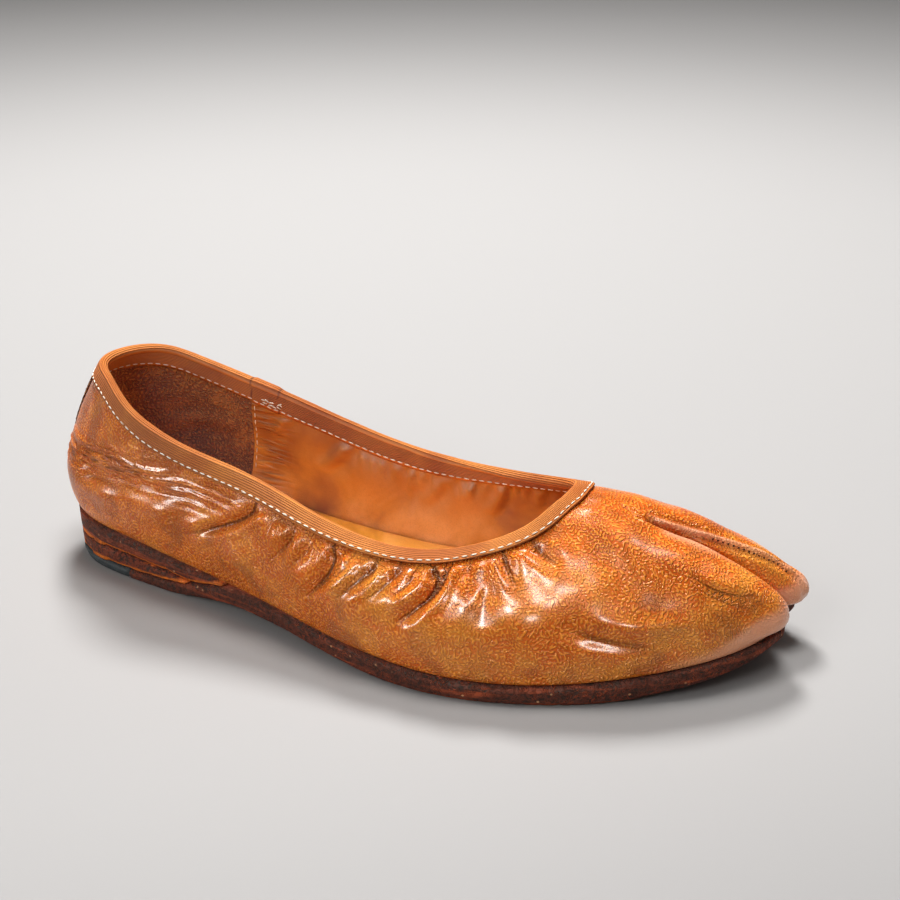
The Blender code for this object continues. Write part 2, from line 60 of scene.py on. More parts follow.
# Creases in the leather, in millimetres. Those on a side are drawn from the side, as x and z, and those on
# top from above, as x and y. Each bends past its middle point. The start is the share of the depth where it
# begins, and shade how dark the painted shade at its bottom is.
CREASE_COLUMNS = ("face", "x0", "h0", "x1", "h1", "x2", "h2", "width", "depth", "start", "shade")
CREASES = (
    ("outer", 91, 43.5, 85, 36, 63, 26, 1.5, 1.1, 0.9, 0.8),
    ("outer", 106, 37, 104, 33, 98, 27, 1.7, 0.7, 0.8, 0.4),
    ("outer", 113, 35, 110, 31, 105, 26, 1.5, 0.5, 0.8, 0.3),
    ("outer", 120.5, 35.5, 120, 29, 112.5, 19.5, 1.9, 1.4, 0.9, 0.9),
    ("outer", 127, 34, 124, 29, 118, 24, 1.4, 0.5, 0.8, 0.3),
    ("outer", 135, 34, 131, 29, 124.5, 22.5, 1.8, 0.9, 0.9, 0.6),
    ("outer", 142, 34, 140, 30, 135, 25, 1.5, 0.6, 0.8, 0.4),
    ("outer", 147.5, 34, 146, 30, 142, 27, 1.2, 0.5, 0.8, 0.4),
    ("outer", 152.5, 34.5, 154, 30, 145, 20.5, 2.0, 1.5, 0.9, 1.0),
    ("outer", 157, 35, 155, 29.5, 150.5, 26, 1.2, 0.8, 0.9, 0.7),
    ("outer", 163, 35.5, 164.5, 32, 165, 28, 1.5, 0.5, 0.8, 0.3),
    ("outer", 169.5, 40, 173.5, 37, 178, 33, 1.6, 1.1, 0.9, 0.8),
    ("outer", 176, 43, 181.5, 40.5, 188, 38, 1.6, 0.9, 0.9, 0.6),
    ("outer", 168, 33, 170, 29, 171, 23, 3.0, 0.6, 0.5, 0.3),
    ("outer", 195, 23.5, 205, 20.5, 218, 17.5, 2.2, 0.6, 0.2, 0.6),
    ("outer", 14, 31, 24, 35, 40, 33, 2.6, 0.6, 0.3, 0.3),
    ("top", 223, -10.5, 232, -7.5, 240, -1, 0.9, 0.5, 0.3, 0.7),
    ("top", 225, -12, 233, -9, 239.5, -4, 0.8, 0.3, 0.3, 0.4),
    ("top", 196, 2, 200, 1, 206, 1.5, 0.8, 0.4, 0.2, 0.3),
    ("top", 203.5, -1.6, 205.3, -0.4, 206.6, 1.0, 0.5, 0.7, 0.9, 1.0),
    ("inner", 70, 48, 66, 42, 62, 36, 1.7, 0.7, 0.8, 0.4),
    ("inner", 92, 40, 88, 34, 80, 27, 2.0, 0.9, 0.9, 0.6),
    ("inner", 128, 36, 126, 30, 120, 22, 1.8, 0.9, 0.9, 0.6),
    ("inner", 138, 36, 137, 31, 134, 26, 1.4, 0.6, 0.8, 0.4),
    ("inner", 146, 36, 147, 30, 143, 22, 2.0, 1.1, 0.9, 0.8),
    ("inner", 158, 37, 160, 32, 160, 26, 1.6, 0.7, 0.8, 0.5),
    ("inner", 168, 39, 172, 34, 177, 28, 1.8, 0.8, 0.9, 0.6),
    ("inner", 190, 30, 202, 24, 218, 19, 3.6, 0.6, 0.2, 0.3),
    ("inner", 16, 33, 34, 37, 52, 34, 2.6, 0.5, 0.3, 0.3),
    ("inner", 116.4, 37, 115.6, 24, 114.5, 12, 0.8, 0.5, 1.0, 0.6),
)

# Soft bulges and hollows, in millimetres: centre, size along x and across it, and height.
BULGE_COLUMNS = ("face", "x", "h", "length", "breadth", "height")
BULGES = (
    ("outer", 14, 34, 6, 5, 1.0),
    ("outer", 36, 38, 24, 2.6, -1.1),
    ("outer", 40, 31, 16, 4, 0.7),
    ("outer", 55, 31, 7, 4, 0.8),
    ("outer", 67, 28, 7, 4, 0.9),
    ("outer", 86, 25, 8, 6, 1.0),
    ("outer", 100, 34, 4, 4, 0.5),
    ("outer", 110, 27, 4, 6, 0.9),
    ("outer", 129, 25, 6, 6, 0.8),
    ("outer", 145, 27, 3.5, 4, 0.7),
    ("outer", 162, 24, 8, 7, 0.5),
    ("outer", 181, 26, 9, 6, 0.8),
    ("outer", 196, 31, 9, 5, 0.6),
    ("outer", 205, 27, 8, 4, 0.5),
    ("outer", 216, 24, 10, 2.6, 0.9),
    ("inner", 30, 34, 12, 8, 0.6),
    ("inner", 60, 32, 10, 7, 0.5),
    ("inner", 100, 28, 8, 7, -0.9),
    ("inner", 118, 24, 8, 6, 0.6),
    ("inner", 137, 29, 5, 6, -0.9),
    ("inner", 152, 24, 7, 6, 0.7),
    ("inner", 184, 26, 9, 6, 0.6),
    ("top", 194, -6, 9, 8, 0.5),
    ("outer", 247, 17, 5, 6, 1.0),
    ("inner", 248, 16, 5, 6, 1.0),
)

# Lines over the split toe, in millimetres: the seam that stands up along the inner lobe, the fold and the
# groove below it, the pinholes beside it, and the shoulder of the outer lobe.
RIDGE_LINE = ((207, 3.6, 43.8), (219, 10.4, 38.5), (231, 17.5, 33.5), (242, 24.0, 27.7), (248, 26.5, 18))
FOLD_LINE = ((212, 5.2, 41), (222, 10.0, 35.5), (233, 15.6, 30), (242, 20.5, 24.5), (246, 23.0, 17))
GROOVE_LINE = (
    (206, 0.8, 44.0), (214, 4.0, 39), (223, 8.6, 33), (233, 13.4, 26), (242, 17.5, 18), (246, 19.2, 13),
)
PINHOLE_LINE = ((222, 11.3, 37), (232, 17.2, 32.3), (241, 22.4, 26.9), (246, 24.6, 21))
SHOULDER_LINE = (
    (212, 0, 42.6), (221, 2.6, 38.8), (230, 6.8, 34.6), (238, 11.2, 29.6), (244, 15, 23.5), (247, 16.5, 15),
)
PINHOLE_PITCH = 1.7
PINHOLE_RADII = (0.42, 0.42, 0.10)

# How far the split between the toes draws the outsole's tip back on the inner side, in millimetres.
TIP_PULL = 1.8

# The middle of the upper as x and y, where its outer side meets its inner side, and the height of the fine
# wrinkles round the heel as x and z, in millimetres.
MIDDLE_LINE = ((0, 0), (60, 0), (120, -7), (190, -5), (250, 14))
WRINKLE_LINE = ((0, 38.5), (32, 42.5), (52, 42.5), (69, 40.5), (90, 42))

# Where the tape's two ends lap on the inner side, in millimetres along the shoe: the ends of the lap, and how
# far inside them the dark lips lie.
LAP_ENDS = (54.0, 66.0)
LAP_LIP = 0.6

# Untidy threads over the end of the tape inside the shoe, in millimetres, each from one place to another.
BAR_TACK = (
    ((58.0, 24.9, 50.3), (67.4, 24.5, 48.6)),
    ((58.6, 24.9, 49.3), (66.6, 24.5, 47.7)),
    ((59.4, 24.9, 50.9), (65.2, 24.5, 47.2)),
    ((60.6, 24.9, 48.3), (67.2, 24.5, 49.4)),
)

# Seams that run up the shoe, in millimetres: where they are along it, which way they face, their lowest and
# highest stitch, and how far they lean towards the toe over that height.
SEAM_COLUMNS = ("x", "side", "low", "high", "lean")
LINING_SEAMS = (
    (52.4, 1, 21, 50, 2.7),
    (52.4, -1, 21, 50, 2.7),
)
OUTER_SEAM = (115, 1, 15, 33, 1.0)

# The maze of the leather's grain: how many waves make it, how far one turns from the next and how far it is
# shifted, in radians, the scale of the slow noise and how far that bends the waves, for a pitch of 1, and the
# sums of the waves that lie at the bottom and at the top of a ridge.
MAZE_WAVES = 9
MAZE_TURN = 2.4
MAZE_SHIFT = 1.7
MAZE_STIR = 0.16
MAZE_BEND = 4
MAZE_BOTTOM, MAZE_TOP = -1.2, 2.6

# Lights as disks aimed at the shoe, in metres and watts. One that is used for all gives light and highlights,
# a matt one gives no highlights, and a gleam gives nothing else.
LIGHT_TARGET = (0, 0, 0.03)
LIGHTS = (
    ("key", (-0.45, 0.75, 1.25), 0.40, 31, "all"),
    ("overhead", (0.05, 0.2, 1.5), 0.6, 16, "matt"),
    ("gleam_top", (0.16, -0.62, 1.28), 0.30, 13, "gleam"),
    ("gleam_heel", (-0.95, -0.80, 0.50), 0.35, 15, "gleam"),
    ("front", (-0.3, -1.2, 0.9), 0.6, 7, "all"),
    ("gleam", (0.05, -1.05, 1.1), 0.35, 30, "gleam"),
    ("gleam_toe", (1.0, -1.1, 0.85), 0.25, 16, "gleam"),
    ("gleam_cleft", (0.55, 0.5, 1.3), 0.25, 9, "gleam"),
)
WORLD_COLOUR = (1.0, 0.98, 0.96, 1)
WORLD_STRENGTH = 0.15

# The camera: its place in the shoe's own millimetres, how far it is turned and tilted, in degrees, and its
# lens and sensor in millimetres.
CAMERA_PLACE = (316.0, -387.4, 245.1)
CAMERA_TURN, CAMERA_TILT = 24.3, 24.0
CAMERA_LENS, CAMERA_SENSOR = 60, 36


def shoe_point(x, y, z):
    """A place in the frame from millimetres in the shoe's own coordinates."""
    return HEEL_BACK + Vector((x, y, z)) * MM


def own_millimetres(points):
    """Places in the frame as millimetres in the shoe's own coordinates."""
    return (points - np.array(HEEL_BACK)) / MM


def ease(value):
    """A smooth step from 0 to 1."""
    value = np.clip(value, 0, 1)
    return value * value * (3 - 2 * value)


def hump(value):
    """1 where the value is 0, falling smoothly to 0 on both sides."""
    return np.exp(-(value**2))


def length(name, description, default):
    return FloatProperty(name=name, description=description, default=default, unit="LENGTH")


def colour(name, description, default):
    return FloatVectorProperty(name=name, description=description, default=default, subtype="COLOR")


class Value:
    """A shader socket that takes part in Python sums."""

    def __init__(self, finish, socket):
        self.finish = finish
        self.socket = socket

    def math(self, operation, *values):
        inputs = dict(enumerate(values))
        return self.finish.node("ShaderNodeMath", {"operation": operation}, inputs)

    def __add__(self, other):
        return self.math("ADD", self, other)

    def __sub__(self, other):
        return self.math("SUBTRACT", self, other)

    def __mul__(self, other):
        return self.math("MULTIPLY", self, other)

    def __rsub__(self, other):
        return self.math("SUBTRACT", other, self)

    __radd__ = __add__
    __rmul__ = __mul__

    def between(self, low, high):
        """0 below low, 1 above high and a smooth step between them; low may be the higher one."""
        inputs = {"Value": self, "From Min": low, "From Max": high}
        return self.finish.node("ShaderNodeMapRange", {"interpolation_type": "SMOOTHSTEP"}, inputs)

    def line(self, width):
        """1 where the value is one half, falling to 0 at a width from it."""
        return (self - 0.5).size().between(width, 0)

    def size(self):
        return self.math("ABSOLUTE", self)

    def wave(self, pitch):
        """Even ridges from 0 to 1, one for each pitch of the value."""
        turns = self * (2 * pi / pitch)
        return turns.math("SINE", turns) * 0.5 + 0.5


class Finish:
    """A Principled material put together node by node. Fixed values sit on the shader's own sockets."""

    def __init__(self, name, fixed):
        self.material = bpy.data.materials.new(name)
        self.material.use_nodes = True
        self.tree = self.material.node_tree
        self.shader = self.tree.nodes["Principled BSDF"]
        for socket, value in fixed.items():
            self.shader.inputs[socket].default_value = value
        self.place = self.node("ShaderNodeTexCoord", {}, {}, "Object")

    def node(self, kind, settings, inputs, output=0):
        """A node with its settings made first, then its sockets, each from a value or a link."""
        made = self.tree.nodes.new(kind)
        for name, value in settings.items():
            if name == "stops":
                ramp = made.color_ramp
                for index, (position, colour) in enumerate(value):
                    stop = ramp.elements[index] if index < 2 else ramp.elements.new(position)
                    stop.position = position
                    stop.color = (*colour, 1)
            else:
                setattr(made, name, value)
        for name, value in inputs.items():
            if isinstance(value, Value):
                self.tree.links.new(value.socket, made.inputs[name])
            else:
                made.inputs[name].default_value = value
        return Value(self, made.outputs[output])

    def stretched(self, x, y, z):
        """The piece's own place, stretched along its axes."""
        return self.vectors("MULTIPLY", self.place, (x, y, z))

    def part(self, axis):
        """One of the piece's own coordinates."""
        return self.node("ShaderNodeSeparateXYZ", {}, {0: self.place}, axis)

    def noise(self, scale, detail=2.0, distortion=0.0, at=None):
        inputs = {"Vector": at or self.place, "Scale": scale, "Detail": detail, "Distortion": distortion}
        return self.node("ShaderNodeTexNoise", {}, inputs)

    def cells(self, scale):
        """Distance from the nearest of a scatter of points."""
        return self.node("ShaderNodeTexVoronoi", {}, {"Vector": self.place, "Scale": scale})

    def vectors(self, operation, *values, output=0):
        return self.node("ShaderNodeVectorMath", {"operation": operation}, dict(enumerate(values)), output)

    def maze(self, pitch):
        """Short winding ridges about one pitch apart: even waves in many directions, bent by a slow noise."""
        inputs = {"Vector": self.place, "Scale": MAZE_STIR / pitch, "Detail": 1.0}
        stir = self.node("ShaderNodeTexNoise", {}, inputs, 1)
        bent = self.vectors("MULTIPLY_ADD", stir, (MAZE_BEND * pitch,) * 3, self.place)
        total = 0
        for wave in range(MAZE_WAVES):
            rise = 1 - (wave + 0.5) / MAZE_WAVES
            flat = sqrt(1 - rise * rise)
            turn = MAZE_TURN * wave
            way = Vector((flat * cos(turn), flat * sin(turn), rise)) * (2 * pi / pitch)
            turns = self.vectors("DOT_PRODUCT", bent, tuple(way), output=1) + MAZE_SHIFT * wave
            total = total + turns.math("SINE", turns)
        return total.between(MAZE_BOTTOM, MAZE_TOP)

    def attribute(self, name):
        return self.node("ShaderNodeAttribute", {"attribute_name": name}, {}, "Fac")

    def ramp(self, value, *stops):
        return self.node("ShaderNodeValToRGB", {"stops": stops}, {"Fac": value})

    def mix(self, factor, first, second):
        """One colour over another; either may be a plain colour."""
        inputs = {0: factor}
        for index, colour in ((6, first), (7, second)):
            inputs[index] = colour if isinstance(colour, Value) else (*colour, 1)
        return self.node("ShaderNodeMix", {"data_type": "RGBA"}, inputs, 2)

    def connect(self, **values):
        """Link values to the shader; height in metres goes through a Bump node."""
        for name, value in values.items():
            if name == "height":
                normal = self.node("ShaderNodeBump", {}, {"Height": value, "Distance": 1.0})
                self.tree.links.new(normal.socket, self.shader.inputs["Normal"])
            else:
                self.tree.links.new(value.socket, self.shader.inputs[name.replace("_", " ").title()])
        return self.material


def tan_leather(colours, sizes):
    """Glazed leather with a maze of short ridges, painted shade in the folds, creases and heel wrinkles, burnished
    at the toe and given a painted highlight along the raised seam.
    """
    tint = {"Specular Tint": (1, 0.60, 0.30, 1), "Coat Tint": (1, 0.93, 0.86, 1)}
    finish = Finish("tan_leather", {"Coat Roughness": 0.20, "Specular IOR Level": 0.42, **tint})
    ridge = finish.maze(sizes.grain_pitch)
    crumb = finish.noise(1500, 2)
    cloud = finish.noise(30, 4, 0.4)
    spot = finish.noise(130, 3, 0.6)
    wear_and_highlight = finish.attribute("wear_and_highlight")
    fold = finish.attribute("fold")
    wrinkle = finish.attribute("wrinkle")
    # Painted shade at the bottom of the creases, by how far aside of the nearest crease a point lies.
    crease = finish.attribute("crease_side").size().between(0.42, 0.05) * finish.attribute("crease_shade")
    tone = cloud * 0.6 + spot * 0.4
    stops = ((0.36, colours.leather_dark), (0.50, colours.leather), (0.64, colours.leather_pale))
    base = finish.ramp(tone, *stops)
    base = finish.mix((1 - ridge) * 0.46 * (1 - wear_and_highlight * 0.8), base, colours.leather_dark)
    base = finish.mix(ridge * 0.58, base, colours.leather_pale)
    blotch = finish.noise(70, 3, 0.5).between(0.50, 0.66)
    base = finish.mix(blotch * 0.6 * (1 - wear_and_highlight), base, colours.brown_patches_and_fold_shade)
    # Painted shade in the folds, the groove, the gathers and along the bottom of the upper.
    base = finish.mix(fold * (0.5 + crumb * 0.5), base, colours.brown_patches_and_fold_shade)
    # Wear at the toe, and a painted highlight along the raised seam.
    base = finish.mix(wear_and_highlight * (0.65 + spot * 0.4), base, colours.leather_wear_and_highlight)
    # Painted shade at the bottom of the creases.
    base = finish.mix(crease * (0.65 + crumb * 0.6), base, colours.fold_and_hole_shade)
    lines = finish.noise(300, 1.0, 0.6, finish.stretched(0.16, 0.16, 1.5)).line(0.12)
    # Painted shade between the raised wrinkle lines round the heel.
    base = finish.mix(wrinkle * (1 - lines) * 0.5, base, colours.leather_dark)
    grain = ridge * (1 - wear_and_highlight * 0.8) * (1 - wrinkle * 0.6) * (0.7 + cloud * 0.6) + crumb * 0.15
    return finish.connect(
        base_color=base,
        roughness=0.25 + spot * 0.16 + fold * 0.12,
        coat_weight=(0.10 + cloud.between(0.38, 0.64) * 0.34 + wear_and_highlight * 0.35) * (1 - fold * 0.7) * (1 - crease),
        height=(grain + lines * wrinkle * 2.2 - crease * 2.0) * sizes.grain_depth,
    )


def lining_leather(colours, sizes, heel_seam=None):
    """Smooth warm lining. With a heel seam it is darker towards the rim; behind the seam it is rough dark suede,
    with small gathers before the seam that have painted shade between their lines.
    """
    finish = Finish("lining_leather" if heel_seam else "insole_leather", {"Specular IOR Level": 0.3})
    cloud = finish.noise(45, 3, 0.5)
    fibre = finish.noise(700, 2, 1.5)
    stops = ((0.26, colours.lining_dark), (0.50, colours.lining), (0.68, colours.lining_pale))
    base = finish.ramp(cloud, *stops)
    base = finish.mix(fibre.line(0.06) * 0.16, base, colours.lining_dark)
    if heel_seam:
        # Darker towards the rim.
        base = finish.mix(finish.attribute("down").between(0.032, 0.012) * 0.5, base, colours.lining_dark)
    rough = 0.52 + fibre * 0.15
    height = fibre * 0.15 * sizes.grain_depth
    if heel_seam:
        gather = finish.attribute("gather")
        lines = finish.noise(330, 1, 0.5, finish.stretched(0.14, 0.3, 1.3)).line(0.16)
        # Painted shade between the raised gather lines before the seam.
        base = finish.mix(gather * (1 - lines) * 0.6, base, colours.lining_dark)
        hair = finish.noise(480, 3, 2.6)
        tuft = finish.noise(140, 3, 0.8)
        threads = finish.maze(sizes.nap_pitch)
        nap = finish.mix(tuft.between(0.4, 0.75) * 0.6, colours.suede, colours.suede_light)
        nap = finish.mix(threads.between(0.25, 0.9) * 0.6, nap, colours.suede_light)
        nap = finish.mix(hair.between(0.5, 0.3) * 0.5, nap, colours.suede_dark)
        along = finish.part("X") - finish.part("Z") * 0.09 + hair * 0.0004
        heel = along.between(heel_seam + 0.0003, heel_seam)
        base = finish.mix(heel, base, nap)
        rough = rough + heel * 0.3
        height = height + lines * gather * 1.4 * sizes.grain_depth
        height = height + heel * (0.0005 + (threads * 1.5 + tuft) * sizes.grain_depth)
    return finish.connect(base_color=base, roughness=rough, height=height)


def ribbed_tape(colours, sizes):
    """Woven tape with fine ribs that follow its length, and the dark lips of its lap joint."""
    finish = Finish("ribbed_tape", {"Specular IOR Level": 0.2})
    across = finish.attribute("across")
    rib = (across + finish.noise(40, 0) * 0.0004).wave(sizes.rib_pitch)
    weave = finish.noise(1400, 2, 0.4)
    cloud = finish.noise(40, 3, 0.3)
    lip = finish.attribute("lip")
    base = finish.mix(cloud.between(0.35, 0.68), colours.tape, colours.tape_light)
    base = finish.mix((1 - rib) * 0.5 + weave * 0.06, base, colours.tape_dark)
    base = finish.mix(lip.between(0.5, 0.95) * 0.8, base, colours.tape_dark)
    return finish.connect(
        base_color=base, roughness=0.62 + weave * 0.2, height=(rib + weave * 0.1) * sizes.rib_height
    )


def thread(colours):
    """Pale thread with grime on it."""
    finish = Finish("thread", {"Specular IOR Level": 0.3})
    grime = finish.noise(500, 3)
    base = finish.mix(grime.between(0.4, 0.75) * 0.6, colours.thread, colours.thread_grimed)
    return finish.connect(base_color=base, roughness=0.6 + grime * 0.2, height=finish.noise(4000) * 0.00004)


def hole(colours):
    """Painted shade for the dark inside of a pinhole."""
    finish = Finish("pinhole", {"Specular IOR Level": 0.1})
    return finish.connect(base_color=finish.mix(finish.noise(900), colours.fold_and_hole_shade, colours.suede_dark))


def stay_leather(colours):
    """Dark leather, rubbed down to its fibres."""
    finish = Finish("stay_leather", {"Specular IOR Level": 0.25})
    fibre = finish.noise(600, 3, 1.5)
    base = finish.mix(fibre.line(0.08) * 0.7, colours.stay, colours.suede_light)
    return finish.connect(base_color=base, roughness=0.7 + fibre * 0.2, height=fibre.line(0.1) * 0.00018)


def sole_leather(name, tone, streak, glued, colours, sizes):
    """Dark, rough cut edge of leather, with level streaks, red fibres, pale specks and a line of glue."""
    finish = Finish(name, {"Specular IOR Level": 0.18, "Specular Tint": (1, 0.75, 0.6, 1)})
    fibre = finish.noise(300, 3, 2.2)
    level = finish.noise(260, 3, 0.6, finish.stretched(0.14, 0.14, 2.2))
    lump = finish.noise(800, 3, 0.8)
    red = finish.noise(150, 2, 1.0).between(0.44, 0.64)
    patch = finish.noise(80, 2).between(0.42, 0.60)
    base = finish.mix(lump.between(0.38, 0.62), colours.sole_dark, tone)
    base = finish.mix(level.between(0.52, 0.66) * (0.3 + patch * 0.6), base, streak)
    base = finish.mix(fibre.line(0.045) * (0.25 + red * 0.75), base, colours.sole_fibre)
    base = finish.mix(finish.cells(300).between(0.15, 0.08) * patch, base, colours.speck)
    if glued:
        low = finish.attribute("low") + (lump - 0.5) * 0.0006
        line = low.between(sizes.glue_height, sizes.glue_height * 0.6)
        base = finish.mix(line * finish.noise(120, 3, 1.0).between(0.25, 0.42), base, colours.glue)
    return finish.connect(
        base_color=base,
        roughness=0.60 + lump * 0.3 - red * 0.12,
        height=(fibre.line(0.07) * 0.9 + lump * 0.7 + level * 0.6) * sizes.grain_depth,
    )


def rubber(colours, sizes):
    """Dark rubber with dust and a few nicks."""
    finish = Finish("heel_rubber", {"Specular IOR Level": 0.2})
    dust = finish.noise(300, 4, 0.8)
    nick = finish.noise(140, 3, 2.0).line(0.03)
    base = finish.mix(dust.between(0.45, 0.75) * 0.6, colours.rubber, colours.rubber_dust)
    return finish.connect(
        base_color=base, roughness=0.6 + dust * 0.25, height=(dust * 0.3 - nick * 0.5) * sizes.grain_depth
    )


def floor_look(colours):
    """Matt floor with painted shade that darkens it with distance from the shoe, and a painted shadow towards the
    camera's right.
    """
    look = Finish("floor", {"Specular IOR Level": 0.1})
    cloud = look.noise(1.5, 2)
    away = look.node("ShaderNodeVectorMath", {"operation": "LENGTH"}, {0: look.place}, "Value")
    # Painted shadow towards the camera's right, and painted shade that deepens with distance.
    near = (look.part("X") * 0.7 - look.part("Y") * 0.8 + cloud * 0.04).between(0.08, 0.36)
    painted_floor_shade = (away + cloud * 0.1).between(0.6, 1.3) * 0.36 + near * 0.55 + 0.05
    base = look.mix(painted_floor_shade, colours.floor, tuple(0.45 * part for part in colours.floor))
    return look.connect(base_color=base, roughness=0.5 + cloud * 0.1)


def merged_copy(node):
    """A CAD node's mesh with its doubles merged and its triangles joined into quads."""
    form = bmesh.new()
    form.from_mesh(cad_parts[node].data)
    bmesh.ops.remove_doubles(form, verts=form.verts[:], dist=1e-6)
    bmesh.ops.join_triangles(
        form, faces=form.faces[:], angle_face_threshold=radians(120), angle_shape_threshold=radians(120)
    )
    for part in (form.verts, form.edges, form.faces):
        part.ensure_lookup_table()
        part.index_update()
    form.normal_update()
    return form


def regions(form, sharpest):
    """Groups of faces that meet at less than an angle, the largest first."""
    seen = set()
    groups = []
    for start in form.faces:
        if start.index in seen:
            continue
        seen.add(start.index)
        group = [start]
        for face in group:
            for edge in face.edges:
                if len(edge.link_faces) == 2 and edge.calc_face_angle() < sharpest:
                    for other in edge.link_faces:
                        if other.index not in seen:
                            seen.add(other.index)
                            group.append(other)
        groups.append(group)
    return sorted(groups, key=lambda group: -sum(face.calc_area() for face in group))


def border_rings(group):
    """Rings of vertices round a group of faces, the longest first."""
    inside = {face.index for face in group}
    edges = {}
    for face in group:
        for edge in face.edges:
            if sum(other.index in inside for other in edge.link_faces) == 1:
                edges[edge.index] = edge
    rings = []
    while edges:
        edge = edges.pop(min(edges))
        ring = list(edge.verts)
        while True:
            ahead = [link for link in ring[-1].link_edges if link.index in edges]
            if not ahead:
                break
            ring.append(edges.pop(ahead[0].index).other_vert(ring[-1]))
        rings.append(ring[:-1])
    return sorted(rings, key=lambda ring: -sum((a.co - b.co).length for a, b in zip(ring, ring[1:])))


def facing_down(group):
    """How large a group of faces looks from below."""
    return -sum(face.normal.z * face.calc_area() for face in group)


def run_from(form, ring):
    """For each vertex, how many steps and how far it is from a ring of vertices along the mesh."""
    steps = np.full(len(form.verts), -1)
    lengths = np.zeros(len(form.verts))
    front = list(ring)
    for vert in front:
        steps[vert.index] = 0
    step = 0
    while front:
        step += 1
        reached = {}
        for vert in front:
            for edge in vert.link_edges:
                other = edge.other_vert(vert)
                length = lengths[vert.index] + edge.calc_length()
                if steps[other.index] < 0 and length < reached.get(other.index, (None, 1e9))[1]:
                    reached[other.index] = (other, length)
        for index, (other, length) in reached.items():
            steps[index] = step
            lengths[index] = length
        front = [other for other, length in reached.values()]
    return steps, lengths


def set_values(form, name, values):
    """Store one value for each vertex of a bmesh."""
    layer = form.verts.layers.float.new(name)
    for vert, value in zip(form.verts, values):
        vert[layer] = value


def get_values(mesh, name):
    """The values stored for a mesh's vertices."""
    values = np.zeros(len(mesh.vertices))
    mesh.attributes[name].data.foreach_get("value", values)
    return values


def put_values(mesh, name, values):
    """Store one value for each vertex of a mesh."""
    layer = mesh.attributes.get(name) or mesh.attributes.new(name, "FLOAT", "POINT")
    layer.data.foreach_set("value", np.ascontiguousarray(values, dtype=np.float32))


def read_points(mesh):
    """Places and normals of a mesh's vertices."""
    places = np.zeros(3 * len(mesh.vertices))
    normals = np.zeros(3 * len(mesh.vertices))
    mesh.vertices.foreach_get("co", places)
    mesh.vertex_normals.foreach_get("vector", normals)
    return places.reshape(-1, 3), normals.reshape(-1, 3)


def write_points(mesh, places):
    mesh.vertices.foreach_set("co", places.ravel())
    mesh.update()


def add_piece(name, form, *materials):
    """An object from a bmesh, in the frame and riding on the shoe's one body."""
    mesh = bpy.data.meshes.new(name)
    form.to_mesh(mesh)
    form.free()
    mesh.shade_smooth()
    for material in materials:
        mesh.materials.append(material)
    piece = bpy.data.objects.new(name, mesh)
    bpy.context.scene.collection.objects.link(piece)
    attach(piece, "root")
    return piece


def subdivide(piece, levels):
    """Replace a piece's mesh by its smoothed and subdivided surface."""
    smooth = piece.modifiers.new("smooth", "SUBSURF")
    smooth.levels = levels
    smooth.render_levels = levels
    mesh = bpy.data.meshes.new_from_object(piece.evaluated_get(bpy.context.evaluated_depsgraph_get()))
    piece.modifiers.clear()
    rough = piece.data
    piece.data = mesh
    bpy.data.meshes.remove(rough)
    mesh.name = piece.name
    return mesh


def keep_edges(form, sharpest, keep):
    """Hold the edges that are sharper than an angle against the smoothing."""
    layer = form.edges.layers.float.new("crease_edge")
    for edge in form.edges:
        if len(edge.link_faces) == 2 and edge.calc_face_angle() > sharpest:
            edge[layer] = keep


def fractal(places, size, octaves=3):
    """Smooth noise between about -1 and 1 with lumps of one size."""
    return np.array([noise.fractal(Vector(place) / size, 1.0, 2.0, octaves) for place in places])


def along_line(points, line):
    """Distance of points from a line through places, and the share of its length that is nearest them."""
    line = np.array(line, dtype=float)
    lengths = np.linalg.norm(np.diff(line, axis=0), axis=1)
    starts = np.concatenate([[0], np.cumsum(lengths)])
    best = np.full(len(points), 1e9)
    share = np.zeros(len(points))
    for a, b, start, length in zip(line, line[1:], starts, lengths):
        t = np.clip((points - a) @ (b - a) / length**2, 0, 1)
        distance = np.linalg.norm(points - a - t[:, None] * (b - a), axis=1)
        nearer = distance < best
        best[nearer] = distance[nearer]
        share[nearer] = (start + t[nearer] * length) / starts[-1]
    return best, share


def side_of_line(points, line):
    """1 or -1, by the side of a flat line that each point lies on."""
    line = np.array(line)
    middles = (line[1:] + line[:-1]) / 2
    nearest = np.argmin(np.linalg.norm(points[:, None] - middles[None], axis=2), axis=1)
    ways = (line[1:] - line[:-1])[nearest]
    away = points - middles[nearest]
    return np.sign(ways[:, 0] * away[:, 1] - ways[:, 1] * away[:, 0])


def bent_line(start, middle, end, count=13):
    """Points of a curve through three places."""
    t = np.linspace(0, 1, count)[:, None]
    handle = 2 * np.array(middle) - (np.array(start) + np.array(end)) / 2
    return (1 - t) ** 2 * start + 2 * (1 - t) * t * handle + t**2 * end


def on_face(own, face):
    """The two coordinates that a face is drawn in, and how far each point belongs to it."""
    middle = np.interp(own[:, 0], *zip(*MIDDLE_LINE))
    if face == "top":
        return own[:, :2], ease((own[:, 2] - 12) / 6)
    way = -1 if face == "outer" else 1
    return own[:, ::2], ease((own[:, 1] - middle) * way / 5)


